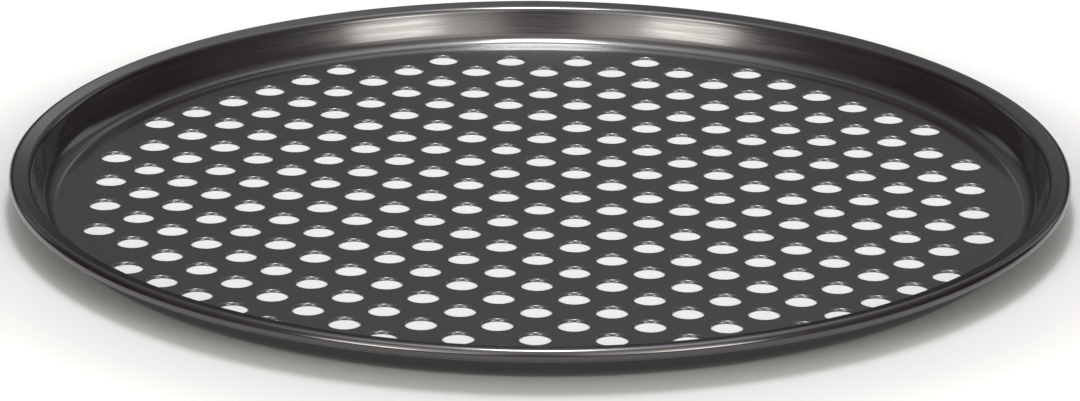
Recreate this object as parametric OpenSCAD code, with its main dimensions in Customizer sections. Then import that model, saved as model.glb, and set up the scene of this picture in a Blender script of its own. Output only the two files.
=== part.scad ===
// Perforated pizza pan, pressed from one sheet of steel.
// The pan stands on its flat base, with its axis along Z and its underside at Z = 0.

/* [Sheet] */
// Thickness of the sheet
sheet_t = 0.9; // [0.5:0.05:1.2]

/* [Base and wall] */
// Diameter of the flat base, up to where the corner starts to rise
base_d = 293.6; // [150:1:400]
// Inside radius of the corner between base and wall
corner_r = 5.6; // [1.5:0.5:7]
// Lean of the wall's upper end, in degrees out from upright
wall_lean = 16; // [5:1:40]
// Angle that the wall's shallow arc turns through, in degrees
wall_turn = 9; // [2:1:20]
// Height of the whole pan
pan_h = 12.6; // [10:0.2:40]

/* [Rim] */
// Inside radius of the fold from the wall to the rim
fold_r = 1.3; // [0.4:0.1:2.5]
// Slope of the rim, in degrees up towards the outside
rim_rise = 10; // [0:0.5:15]
// Width of the flat part of the rim
rim_w = 3.2; // [2.5:0.1:15]
// Outside diameter of the bead rolled under the rim
bead_d = 4; // [2.8:0.1:5]
// Angle that the bead is rolled through, in degrees
bead_turn = 265; // [185:5:270]

/* [Holes] */
// Diameter of each hole on the underside
hole_d = 9.1; // [3:0.1:12]
// Rounding of each hole's upper edge, drawn in by the punch, no more than the sheet
hole_edge_r = 0.8; // [0.1:0.05:0.9]
// Distance between neighbouring rows, half the distance between holes in a row
row_pitch = 11; // [10.8:0.2:30]
// Least distance from a hole's centre to the edge of the flat base
hole_border = 7; // [6.8:0.2:40]

/* [Hidden] */

pan_colour = [0.28, 0.28, 0.29];
pan_facets = 180;
hole_facets = 40;
arc_facets = 72;
// How far a cutter reaches past the faces that it cuts
cut_past = 1;
// How far the rounding of a hole's edge stands above the sheet, so that it cuts it cleanly
edge_past = 0.005;

base_r = base_d / 2;
bead_r = bead_d / 2;
// Angles that the section has turned through at the wall's upper end and at its foot
wall_end = 90 - wall_lean;
wall_foot = wall_end - wall_turn;
fold_turn = wall_end - rim_rise;

// Height gained on the underside by the corner, the fold, the slope of the rim and its bead
corner_h = (corner_r + sheet_t) * (1 - cos(wall_foot));
fold_h = fold_r * (cos(rim_rise) - cos(wall_end));
rim_h = rim_w * sin(rim_rise);
bead_h = sheet_t + (bead_r - sheet_t) * (1 - cos(rim_rise));

// The wall gains the rest of the height, which sets the radius of its arc
wall_h = pan_h - corner_h - fold_h - rim_h - bead_h;
wall_r = wall_h / (cos(wall_foot) - cos(wall_end)) - sheet_t;

// Rows and columns run over whole numbers of the pitch, and holes stand where their sum is odd
hole_field_r = base_r - hole_border;
hole_steps = floor(hole_field_r / row_pitch);

// Straight run of the sheet's section, and from its end what follows it
module run(length) {
    square([length, sheet_t]);
    translate([length, 0]) children();
}

// The half plane on one side of a bend's centre, as large as the bend needs
module half_plane(centre_y, reach, side) {
    translate([side > 0 ? 0 : -reach, centre_y - reach]) square([reach, 2 * reach]);
}

// The frame at the end of a bend, turned about the bend's centre
module past_bend(centre_y, turn) {
    translate([0, centre_y]) rotate(turn) translate([0, -centre_y]) children();
}

// Bend of the sheet's section, up for a positive turn and down for a negative one,
// and from its end what follows it
module bend(inside_r, turn) {
    outside_r = inside_r + sheet_t;
    centre_y = turn > 0 ? outside_r : -inside_r;
    reach = outside_r + cut_past;
    difference() {
        translate([0, centre_y]) circle(outside_r, $fn = arc_facets);
        translate([0, centre_y]) circle(inside_r, $fn = arc_facets);
        if (abs(turn) > 180) {
            intersection() {
                half_plane(centre_y, reach, -1);
                past_bend(centre_y, turn) half_plane(centre_y, reach, 1);
            }
        } else {
            half_plane(centre_y, reach, -1);
            past_bend(centre_y, turn) half_plane(centre_y, reach, 1);
        }
    }
    past_bend(centre_y, turn) children();
}

// Section of the pressed sheet from the centre out: base, corner, wall, fold, rim and bead
module section() {
    run(base_r)
        bend(corner_r, wall_foot)
            bend(wall_r, wall_turn)
                bend(fold_r, -fold_turn)
                    run(rim_w)
                        bend(bead_r - sheet_t, -bead_turn);
}

// Cutter for one punched hole, straight below and flared above by the rounded edge
module hole_cutter() {
    hole_r = hole_d / 2;
    edge_r = min(hole_edge_r, sheet_t);
    edge_y = sheet_t - edge_r + edge_past;
    rotate_extrude($fn = hole_facets) {
        translate([0, -cut_past]) square([hole_r, sheet_t + 2 * cut_past]);
        difference() {
            translate([0, edge_y]) square([hole_r + edge_r, edge_r]);
            translate([hole_r + edge_r, edge_y]) circle(edge_r, $fn = arc_facets);
        }
    }
}

// Every hole of the staggered field that stays inside the border
module hole_field() {
    for (row = [-hole_steps:hole_steps], column = [-hole_steps:hole_steps]) {
        staggered = (row + column) % 2 != 0;
        inside = norm([column, row]) * row_pitch <= hole_field_r;
        if (staggered && inside)
            translate([column * row_pitch, row * row_pitch, 0]) hole_cutter();
    }
}

// The pan: one pressed sheet with its field of punched holes
module pan() {
    color(pan_colour)
        difference() {
            rotate_extrude($fn = pan_facets) section();
            hole_field();
        }
}

pan();
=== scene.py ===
# Perforated pizza pan on a pale studio table, seen as in the photograph.
import math

import bpy
from mathutils import Matrix, Vector
from mathutils.geometry import delaunay_2d_cdt


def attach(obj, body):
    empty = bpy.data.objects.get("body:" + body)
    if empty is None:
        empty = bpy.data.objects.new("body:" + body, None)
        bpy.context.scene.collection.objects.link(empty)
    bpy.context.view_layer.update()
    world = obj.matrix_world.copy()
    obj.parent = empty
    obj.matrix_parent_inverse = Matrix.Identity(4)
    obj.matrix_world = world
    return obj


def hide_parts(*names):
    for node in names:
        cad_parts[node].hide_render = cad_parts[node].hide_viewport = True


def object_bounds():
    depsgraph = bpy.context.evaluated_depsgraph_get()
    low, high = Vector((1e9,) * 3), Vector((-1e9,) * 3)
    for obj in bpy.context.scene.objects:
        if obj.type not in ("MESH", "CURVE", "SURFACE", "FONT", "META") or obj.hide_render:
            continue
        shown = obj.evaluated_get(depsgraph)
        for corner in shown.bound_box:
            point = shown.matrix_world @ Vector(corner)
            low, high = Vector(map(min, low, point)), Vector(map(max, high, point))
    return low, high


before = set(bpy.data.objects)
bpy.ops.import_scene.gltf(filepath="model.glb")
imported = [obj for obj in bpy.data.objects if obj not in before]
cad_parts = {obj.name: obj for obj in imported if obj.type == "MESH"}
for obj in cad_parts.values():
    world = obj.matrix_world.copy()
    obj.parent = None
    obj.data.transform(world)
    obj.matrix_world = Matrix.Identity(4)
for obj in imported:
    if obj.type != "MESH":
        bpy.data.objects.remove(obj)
cad_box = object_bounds()

MM = 0.001

# The sheet's section, in millimetres and degrees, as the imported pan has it
SHEET_T = 0.9
BASE_R = 146.8
CORNER_R = 5.6
WALL_LEAN = 16.0
WALL_TURN = 9.0
FOLD_R = 1.3
RIM_RISE = 10.0
RIM_W = 3.2
BEAD_R = 2.0
BEAD_TURN = 265.0
PAN_H = 12.6

# The field of holes
HOLE_R = 4.55
HOLE_EDGE_R = 0.8
ROW_PITCH = 11.0
HOLE_BORDER = 7.0

# How finely the visible mesh is cut
AROUND = 288
HOLE_AROUND = 40
HOLE_EDGE_STEPS = 4
# Points of the base's outline closer than this would be taken as one
SAME_POINT_MM = 1e-7

# Streaks of the drawn wall, in millimetres: how far apart across it, the radius of the noise that is
# drawn out round the pan, and their depth
STREAK_MM = 0.7
STREAK_REACH = 5.0
STREAK_DEPTH = 0.0025
# The part of the noise's range over which a streak goes from none to full
STREAK_RANGE = (0.38, 0.66)
# Where they fade in at the wall's foot, and out below the fold and towards it
STREAK_FOOT = (3.8, 5.0)
STREAK_TOP = (9.6, 10.8)
STREAK_OUTER = (155.0, 156.5)

# The coating's own unevenness: how many bumps to a millimetre, and their depth in millimetres
PEEL_PER_MM = 0.55
PEEL_DEPTH = 0.0020

# A hole's drawn edge, which takes the paler colour that is partly painted light, is where the face points
# less upwards than the flat base and not down, as the normal's Z
EDGE_BELOW_FLAT = (0.80, 0.99)
EDGE_ABOVE_UNDERSIDE = (-0.5, -0.1)

# The finish: burnished where the press drew the sheet, satin on the flat base inside this band of radii
SATIN_END = (BASE_R - 4.8, BASE_R - 2.6)
HOLE_EDGES_END = (BASE_R - 3, BASE_R - 2)
BURNISHED_ROUGHNESS = 0.18
STREAKS_ROUGHER_BY = 0.13
SATIN_ROUGHER_BY = 0.20
BURNISHED_IOR = 2.0
SATIN_IOR = 1.45
CLEAR_ROUGHNESS = 0.06
CLEAR_IOR = 1.45
BURNISHED_COLOUR = (0.0155, 0.0105, 0.0155, 1)
SATIN_COLOUR = (0.046, 0.042, 0.0455, 1)
# Paler hole edges and walls: partly thinner coating, partly painted light on them
HOLE_EDGE_THIN_COAT_AND_SHEEN_COLOUR = (0.065, 0.062, 0.065, 1)

# The table: half its side and where its colour for the camera changes, in metres; nearer the pan it is
# darker, as painted shade
TABLE_HALF = 3.0
TABLE_PAINTED_SHADE_FADE = (0.165, 0.22)
TABLE_NEAR_PAINTED_SHADE = (0.91, 0.915, 0.925, 1)
TABLE_FAR = (1.2, 1.2, 1.2, 1)
TABLE_FOR_OTHER_RAYS = (0.65, 0.65, 0.65, 1)

# The room's plain light from its dimmest, low down, to its brightest, and its tint in front of the pan
ROOM_HEIGHTS = (0.50, 0.90)
ROOM_LEVELS = (0.035, 0.25)
ROOM_FRONT_TINT = (1.0, 0.965, 0.90, 1)
ROOM_TINT_FADE = (-0.6, 0.2)
WHITE = (1, 1, 1, 1)

# The studio's soft lights: name, azimuth from behind the pan, spread, rise and fall in degrees, and level.
# They were tuned until the pan's reflections met the photograph's.
GLOWS = [
    ("behind", 0, (20, 45), (8, 24), None, 0.125),
    ("behind_middle", 1, (0, 4), (19, 25), (27, 32), 0.40),
    ("behind_high", 6, (12, 40), (44, 56), None, 0.50),
    ("strip_right", 42, (3, 10), (5, 11), (30, 42), 0.38),
    ("strip_left", -42, (3, 10), (5, 11), (22, 29), 0.24),
    ("upper_right", 10, (4, 13), (26, 33), (42, 50), 0.24),
    ("side_right", 110, (8, 26), (2, 10), (32, 46), 0.07),
    ("side_left", -110, (8, 26), (2, 10), (32, 46), 0.06),
    ("front_low", 180, (30, 75), (4, 16), (44, 54), 0.25),
    ("front_high", 180, (25, 70), (34, 50), None, 0.50),
    ("front_right", 144, (5, 14), (12, 17), (27, 32), 5.4),
    ("front_left", -144, (5, 14), (12, 17), (27, 32), 5.4),
    ("inner_right", 155, (4, 20), (10, 17), (28, 36), 1.5),
    ("inner_left", -155, (4, 20), (10, 17), (28, 36), 1.5),
    ("above_right", 150, (8, 26), (26, 32), (46, 56), 0.9),
    ("above_left", -150, (8, 26), (26, 32), (46, 56), 0.9),
    ("top", 0, (0, 180), (56, 78), None, 1.1),
]

# The camera that took the photograph, from the places of the holes in it
IMAGE_W = 1080
CAMERA_ELEVATION = 19.67
CAMERA_AZIMUTH = 0.494
CAMERA_ROLL = -0.393
CAMERA_DISTANCE = 1.7658
CAMERA_SIDE = 0.00004
CAMERA_RAISE = -0.00085
FOCAL_PX = 5779.2
SENSOR_W = 36.0
CLIP_END = 50


def smooth_object(name, verts, faces, normals):
    """A mesh with a true normal at every face corner: arcs shade as arcs and cut edges stay crisp."""
    mesh = bpy.data.meshes.new(name)
    mesh.from_pydata(verts, [], faces)
    mesh.validate()
    mesh.shade_smooth()
    mesh.normals_split_custom_set(normals)
    mesh.update()
    piece = bpy.data.objects.new(name, mesh)
    bpy.context.scene.collection.objects.link(piece)
    return piece


def wall_radius():
    """Radius of the shallow arc of the wall that brings the pan to its height."""
    turn = math.radians(90 - WALL_LEAN)
    rise = math.radians(RIM_RISE)
    low = math.radians(90 - WALL_LEAN - WALL_TURN)
    corner_h = (CORNER_R + SHEET_T) * (1 - math.cos(low))
    fold_h = FOLD_R * (math.cos(rise) - math.cos(turn))
    rim_h = RIM_W * math.sin(rise)
    bead_h = SHEET_T + (BEAD_R - SHEET_T) * (1 - math.cos(rise))
    return (PAN_H - corner_h - fold_h - rim_h - bead_h) / (math.cos(low) - math.cos(turn)) - SHEET_T


def section():
    """Stations along the section, from the edge of the flat base to the end of the bead.

    Each station is (r, z, heading) on the underside of the sheet."""
    turn = 90 - WALL_LEAN
    # each part: kind, inside radius or length, angle that it turns through, steps
    path = [
        ("bend", CORNER_R, turn - WALL_TURN, 12),
        ("bend", wall_radius(), WALL_TURN, 6),
        ("bend", FOLD_R, -(turn - RIM_RISE), 9),
        ("run", RIM_W, 0, 2),
        ("bend", BEAD_R - SHEET_T, -BEAD_TURN, 24),
    ]
    r, z, heading = BASE_R, 0.0, 0.0
    stations = [(r, z, heading)]
    for kind, size, angle, steps in path:
        for _ in range(steps):
            if kind == "run":
                r += size / steps * math.cos(heading)
                z += size / steps * math.sin(heading)
            else:
                radius = size + SHEET_T if angle > 0 else -size
                centre = (r - radius * math.sin(heading), z + radius * math.cos(heading))
                heading += math.radians(angle / steps)
                r = centre[0] + radius * math.sin(heading)
                z = centre[1] - radius * math.cos(heading)
            stations.append((r, z, heading))
    return stations


def hole_centres():
    """Centres of the staggered field: whole steps of the pitch whose sum is odd."""
    field_r = BASE_R - HOLE_BORDER
    steps = int(field_r // ROW_PITCH)
    places = range(-steps, steps + 1)
    return [
        (i * ROW_PITCH, j * ROW_PITCH)
        for j in places
        for i in places
        if (i + j) % 2 and math.hypot(i, j) * ROW_PITCH <= field_r
    ]


class Builder:
    """Collects vertices, faces and a normal for every face corner."""

    def __init__(self):
        self.verts = []
        self.faces = []
        self.normals = []

    def vert(self, x, y, z):
        self.verts.append((x * MM, y * MM, z * MM))
        return len(self.verts) - 1

    def face(self, corners, normals):
        self.faces.append(corners)
        self.normals.extend(normals)

    def band(self, ring_a, ring_b, normals_a, normals_b):
        """Quads between two closed rings of the same count."""
        count = len(ring_a)
        for k in range(count):
            n = (k + 1) % count
            self.face(
                [ring_a[k], ring_a[n], ring_b[n], ring_b[k]],
                [normals_a[k], normals_a[n], normals_b[n], normals_b[k]],
            )


def circle_steps(count):
    return [2 * math.pi * k / count for k in range(count)]


def ring(builder, centre, radius, z, count):
    return [
        builder.vert(centre[0] + radius * math.cos(a), centre[1] + radius * math.sin(a), z)
        for a in circle_steps(count)
    ]


def ring_normals(out, up, count):
    return [(out * math.cos(a), out * math.sin(a), up) for a in circle_steps(count)]


def flat_with_holes(builder, outer, inner_rings, up):
    """The flat face between the outer ring and the rings of the holes."""
    loops = [outer] + inner_rings
    ids = [i for loop in loops for i in loop]
    owner = [n for n, loop in enumerate(loops) for _ in loop]
    points = [Vector(builder.verts[i][:2]) / MM for i in ids]
    edges = []
    start = 0
    for loop in loops:
        count = len(loop)
        edges += [(start + k, start + (k + 1) % count) for k in range(count)]
        start += count
    found = delaunay_2d_cdt(points, edges, [], 0, SAME_POINT_MM)
    for tri in found[2]:
        owners = {owner[k] for k in tri}
        if len(owners) == 1 and owners != {0}:
            continue
        corners = [ids[k] for k in tri]
        a, b, c = (Vector(builder.verts[i]) for i in corners)
        if ((b - a).cross(c - a)).z * up < 0:
            corners.reverse()
        builder.face(corners, [(0, 0, up)] * 3)


def rim(builder):
    """Corner, wall, fold, flange and bead, turned round Z. Gives the rings where both faces meet the base."""
    stations = section()
    upper, lower = [], []
    for r, z, heading in stations:
        out, up = -math.sin(heading), math.cos(heading)
        top = ring(builder, (0, 0), r + SHEET_T * out, z + SHEET_T * up, AROUND)
        bottom = ring(builder, (0, 0), r, z, AROUND)
        upper.append((top, ring_normals(out, up, AROUND)))
        lower.append((bottom, ring_normals(-out, -up, AROUND)))
    for (a, na), (b, nb) in zip(upper, upper[1:]):
        builder.band(b, a, nb, na)
    for (a, na), (b, nb) in zip(lower, lower[1:]):
        builder.band(a, b, na, nb)
    heading = stations[-1][2]
    end = ring_normals(math.cos(heading), math.sin(heading), AROUND)
    builder.band(lower[-1][0], upper[-1][0], end, end)
    return upper[0][0], lower[0][0]


def punched_hole(builder, centre):
    """A rounded upper edge, then straight through. Gives the rings where it meets both faces."""
    rings = []
    for k in range(HOLE_EDGE_STEPS + 1):
        a = math.radians(90) * k / HOLE_EDGE_STEPS
        radius = HOLE_R + HOLE_EDGE_R * (1 - math.sin(a))
        z = SHEET_T - HOLE_EDGE_R * (1 - math.cos(a))
        rings.append((
            ring(builder, centre, radius, z, HOLE_AROUND),
            ring_normals(-math.sin(a), math.cos(a), HOLE_AROUND),
        ))
    for (a, na), (b, nb) in zip(rings, rings[1:]):
        builder.band(a, b, na, nb)
    under = ring(builder, centre, HOLE_R, 0.0, HOLE_AROUND)
    side = ring_normals(-1, 0, HOLE_AROUND)
    builder.band(rings[-1][0], under, side, side)
    return rings[0][0], under


def pan_mesh():
    """The whole pressed sheet: its section turned round Z, every hole, and both faces of the base."""
    builder = Builder()
    upper_edge, lower_edge = rim(builder)
    holes = [punched_hole(builder, centre) for centre in hole_centres()]
    flat_with_holes(builder, upper_edge, [upper for upper, _ in holes], 1)
    flat_with_holes(builder, lower_edge, [lower for _, lower in holes], -1)
    return smooth_object("pan_sheet", builder.verts, builder.faces, builder.normals)


def inside_cad(piece):
    """Takes off the hair by which the finer arcs reach past the facets of the CAD mesh."""
    low, high = cad_box
    reach = [max(abs(v.co[k]) for v in piece.data.vertices) for k in range(3)]
    scale = min(1.0, high[0] / reach[0], high[1] / reach[1], high[2] / reach[2])
    piece.data.transform(Matrix.Scale(scale, 4))


class Nodes:
    """Short calls for the node tree of a material or of the world."""

    def __init__(self, tree):
        self.tree = tree
        tree.nodes.clear()

    def put(self, socket, value):
        """Links another node's output to the socket, or sets a plain value on it."""
        if isinstance(value, bpy.types.NodeSocket):
            self.tree.links.new(value, socket)
        else:
            socket.default_value = value

    def add(self, kind, settings=None, **inputs):
        """A node. Its inputs go by name, or as i0, i1 and so on by place."""
        node = self.tree.nodes.new(kind)
        for key, value in (settings or {}).items():
            setattr(node, key, value)
        for key, value in inputs.items():
            by_place = key[0] == "i" and key[1:].isdigit()
            self.put(node.inputs[int(key[1:]) if by_place else key.replace("_", " ")], value)
        return node

    def math(self, operation, *values):
        node = self.add("ShaderNodeMath", {"operation": operation})
        for socket, value in zip(node.inputs, values):
            self.put(socket, value)
        return node.outputs[0]

    def times(self, first, second):
        return self.math("MULTIPLY", first, second)

    def plus(self, first, second):
        return self.math("ADD", first, second)

    def ramp(self, value, low, high, from_level=0.0, to_level=1.0):
        """A smooth step of the value between two bounds."""
        node = self.add(
            "ShaderNodeMapRange",
            {"interpolation_type": "SMOOTHSTEP"},
            Value=value, From_Min=low, From_Max=high, To_Min=from_level, To_Max=to_level,
        )
        return node.outputs[0]

    def fade(self, value, low, high):
        """The same step downwards, from 1 to 0."""
        return self.ramp(value, low, high, 1.0, 0.0)

    def blend(self, factor, first, second):
        """The first colour at factor 0 and the second at factor 1."""
        return self.add("ShaderNodeMix", {"data_type": "RGBA"}, Factor=factor, i6=first, i7=second).outputs[2]


def coating_material():
    """Dark grey non-stick coating on pressed steel: satin base, burnished wall with drawn streaks."""
    material = bpy.data.materials.new("nonstick_coating")
    material.use_nodes = True
    n = Nodes(material.node_tree)
    coords = n.add("ShaderNodeTexCoord")
    in_mm = n.add("ShaderNodeVectorMath", {"operation": "SCALE"}, i0=coords.outputs["Object"], Scale=1 / MM)
    place = in_mm.outputs[0]
    x, y, z = n.add("ShaderNodeSeparateXYZ", Vector=place).outputs
    radius = n.math("SQRT", n.plus(n.times(x, x), n.times(y, y)))
    # drawn streaks: long round the pan, short across the wall
    turn = n.math("DIVIDE", STREAK_REACH, radius)
    across = n.math("DIVIDE", z, STREAK_MM)
    drawn_out = n.add("ShaderNodeCombineXYZ", X=n.times(x, turn), Y=n.times(y, turn), Z=across).outputs[0]
    streak = n.add("ShaderNodeTexNoise", Vector=drawn_out, Scale=1.0, Detail=3.0, Roughness=0.6).outputs[0]
    on_wall = n.times(n.ramp(z, *STREAK_FOOT), n.fade(z, *STREAK_TOP))
    on_wall = n.times(on_wall, n.fade(radius, *STREAK_OUTER))
    drawn = n.times(on_wall, n.ramp(streak, *STREAK_RANGE))
    # the coating's own faint unevenness, and the depth of the streaks
    peel = n.add("ShaderNodeTexNoise", Vector=place, Scale=PEEL_PER_MM, Detail=2.0, Roughness=0.5).outputs[0]
    height = n.plus(n.times(peel, PEEL_DEPTH), n.times(drawn, STREAK_DEPTH))
    bump = n.add("ShaderNodeBump", Strength=1.0, Distance=MM, Height=height)
    # the hole edges and walls are paler: partly a thinner coating where the punch drew in the edges of the
    # holes, partly painted light that brightens the lit edges and lifts the walls' shade
    facing_up = n.add("ShaderNodeSeparateXYZ", Vector=coords.outputs["Normal"]).outputs[2]
    edge_thin_coat_and_sheen = n.times(n.fade(facing_up, *EDGE_BELOW_FLAT), n.ramp(facing_up, *EDGE_ABOVE_UNDERSIDE))
    edge_thin_coat_and_sheen = n.times(edge_thin_coat_and_sheen, n.fade(radius, *HOLE_EDGES_END))
    # the flat base is satin, and what the press drew round it is burnished
    satin = n.times(n.fade(radius, *SATIN_END), n.math("SUBTRACT", 1.0, edge_thin_coat_and_sheen))
    roughness = n.plus(BURNISHED_ROUGHNESS, n.times(drawn, STREAKS_ROUGHER_BY))
    shader = n.add(
        "ShaderNodeBsdfPrincipled",
        Base_Color=n.blend(edge_thin_coat_and_sheen, n.blend(satin, BURNISHED_COLOUR, SATIN_COLOUR), HOLE_EDGE_THIN_COAT_AND_SHEEN_COLOUR),
        Roughness=n.plus(roughness, n.times(satin, SATIN_ROUGHER_BY)),
        IOR=n.math("SUBTRACT", BURNISHED_IOR, n.times(satin, BURNISHED_IOR - SATIN_IOR)),
        Normal=bump.outputs[0],
        Coat_Weight=n.math("SUBTRACT", 1.0, satin),
        Coat_Roughness=CLEAR_ROUGHNESS,
        Coat_IOR=CLEAR_IOR,
    )
    n.add("ShaderNodeOutputMaterial", Surface=shader.outputs[0])
    return material


def make_camera():
    """The photograph's camera, aimed at the middle of the sheet of the base."""
    camera = bpy.data.cameras.new("camera")
    camera.sensor_width = SENSOR_W
    camera.sensor_fit = "HORIZONTAL"
    camera.lens = FOCAL_PX * SENSOR_W / IMAGE_W
    camera.clip_end = CLIP_END
    eye = bpy.data.objects.new("camera", camera)
    turn = (
        Matrix.Rotation(math.radians(CAMERA_AZIMUTH), 3, "Z")
        @ Matrix.Rotation(math.radians(90 - CAMERA_ELEVATION), 3, "X")
        @ Matrix.Rotation(math.radians(-CAMERA_ROLL), 3, "Z")
    )
    middle = Vector((0, 0, SHEET_T * MM / 2))
    place = turn @ Vector((CAMERA_SIDE, CAMERA_RAISE, CAMERA_DISTANCE)) + middle
    eye.matrix_world = Matrix.Translation(place) @ turn.to_4x4()
    bpy.context.scene.collection.objects.link(eye)
    bpy.context.scene.camera = eye


def softbox(name, azimuth, elevation, distance, wide, tall, radiance, colour):
    """An area lamp that looks at the pan and spans so many degrees. Azimuth 0 is behind the pan."""
    lamp = bpy.data.lights.new(name, "AREA")
    lamp.shape = "RECTANGLE"
    lamp.size = 2 * distance * math.tan(math.radians(wide / 2))
    lamp.size_y = 2 * distance * math.tan(math.radians(tall / 2))
    lamp.energy = radiance * lamp.size * lamp.size_y * math.pi
    lamp.color = colour
    box = bpy.data.objects.new(name, lamp)
    a, e = math.radians(azimuth), math.radians(elevation)
    place = Vector((math.sin(a) * math.cos(e), math.cos(a) * math.cos(e), math.sin(e))) * distance
    box.location = place
    box.rotation_euler = place.to_track_quat("Z", "Y").to_euler()
    bpy.context.scene.collection.objects.link(box)


def make_lights():
    softbox(
        "overhead", azimuth=0, elevation=84, distance=1.5, wide=10, tall=25,
        radiance=12.5, colour=(0.97, 0.985, 1.0),
    )


def make_floor():
    """A pale table. The camera sees it as white paper, darker near and under the pan as painted shade; other
    rays see a plain pale grey.
    """
    mesh = bpy.data.meshes.new("table")
    corners = [(-1, -1), (1, -1), (1, 1), (-1, 1)]
    mesh.from_pydata([(x * TABLE_HALF, y * TABLE_HALF, 0) for x, y in corners], [], [(0, 1, 2, 3)])
    floor = bpy.data.objects.new("table", mesh)
    bpy.context.scene.collection.objects.link(floor)
    material = bpy.data.materials.new("table")
    material.use_nodes = True
    n = Nodes(material.node_tree)
    path = n.add("ShaderNodeLightPath")
    coords = n.add("ShaderNodeTexCoord")
    out = n.add("ShaderNodeVectorMath", {"operation": "LENGTH"}, i0=coords.outputs["Object"]).outputs[1]
    # painted shade: the paper is darker near the pan, deepening its shadow
    shaded_paper = n.blend(n.ramp(out, *TABLE_PAINTED_SHADE_FADE), TABLE_NEAR_PAINTED_SHADE, TABLE_FAR)
    seen = n.blend(path.outputs["Is Camera Ray"], TABLE_FOR_OTHER_RAYS, shaded_paper)
    n.add("ShaderNodeOutputMaterial", Surface=n.add("ShaderNodeBsdfDiffuse", Color=seen).outputs[0])
    mesh.materials.append(material)


def glow(n, place, azimuth, spread, rise, fall, level):
    """A soft patch of light: fades in azimuth over spread, in with elevation over rise and out over fall."""
    facing, right, height = place
    across, along = math.sin(math.radians(azimuth)), math.cos(math.radians(azimuth))
    towards = n.plus(n.times(facing, along), n.times(right, across))
    near, far = (math.cos(math.radians(v)) for v in spread)
    strength = n.ramp(towards, far, near)
    low, high = (math.sin(math.radians(v)) for v in rise)
    strength = n.times(strength, n.ramp(height, low, high))
    if fall:
        low, high = (math.sin(math.radians(v)) for v in fall)
        strength = n.times(strength, n.fade(height, low, high))
    return n.times(strength, level)


def world_light(n):
    """Strength of the studio's walls by direction, and how far the direction faces away from the camera."""
    coords = n.add("ShaderNodeTexCoord")
    right, back, height = n.add("ShaderNodeSeparateXYZ", Vector=coords.outputs["Generated"]).outputs
    level_part = n.math("SQRT", n.math("SUBTRACT", 1.0, n.times(height, height)))
    level_part = n.math("MAXIMUM", level_part, 0.001)
    facing = n.math("DIVIDE", back, level_part)
    place = (facing, n.math("DIVIDE", right, level_part), height)
    total = n.ramp(height, *ROOM_HEIGHTS, *ROOM_LEVELS)
    for _, azimuth, spread, rise, fall, level in GLOWS:
        total = n.plus(total, glow(n, place, azimuth, spread, rise, fall, level))
    return total, facing


def make_world():
    """White for the camera. All else sees the room, a little warm in front of the pan."""
    world = bpy.data.worlds.new("studio")
    world.use_nodes = True
    n = Nodes(world.node_tree)
    path = n.add("ShaderNodeLightPath")
    level, facing = world_light(n)
    tint = n.blend(n.ramp(facing, *ROOM_TINT_FADE), ROOM_FRONT_TINT, WHITE)
    room = n.add("ShaderNodeBackground", Color=tint, Strength=level).outputs[0]
    white = n.add("ShaderNodeBackground", Color=WHITE, Strength=1.0).outputs[0]
    mixed = n.add("ShaderNodeMixShader", Fac=path.outputs["Is Camera Ray"], i1=room, i2=white)
    n.add("ShaderNodeOutputWorld", Surface=mixed.outputs[0])
    bpy.context.scene.world = world


make_camera()
make_world()
make_lights()
make_floor()

pan = pan_mesh()
inside_cad(pan)
pan.data.materials.append(coating_material())
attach(pan, "root")
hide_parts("pan")

bpy.context.scene.view_settings.view_transform = "Standard"
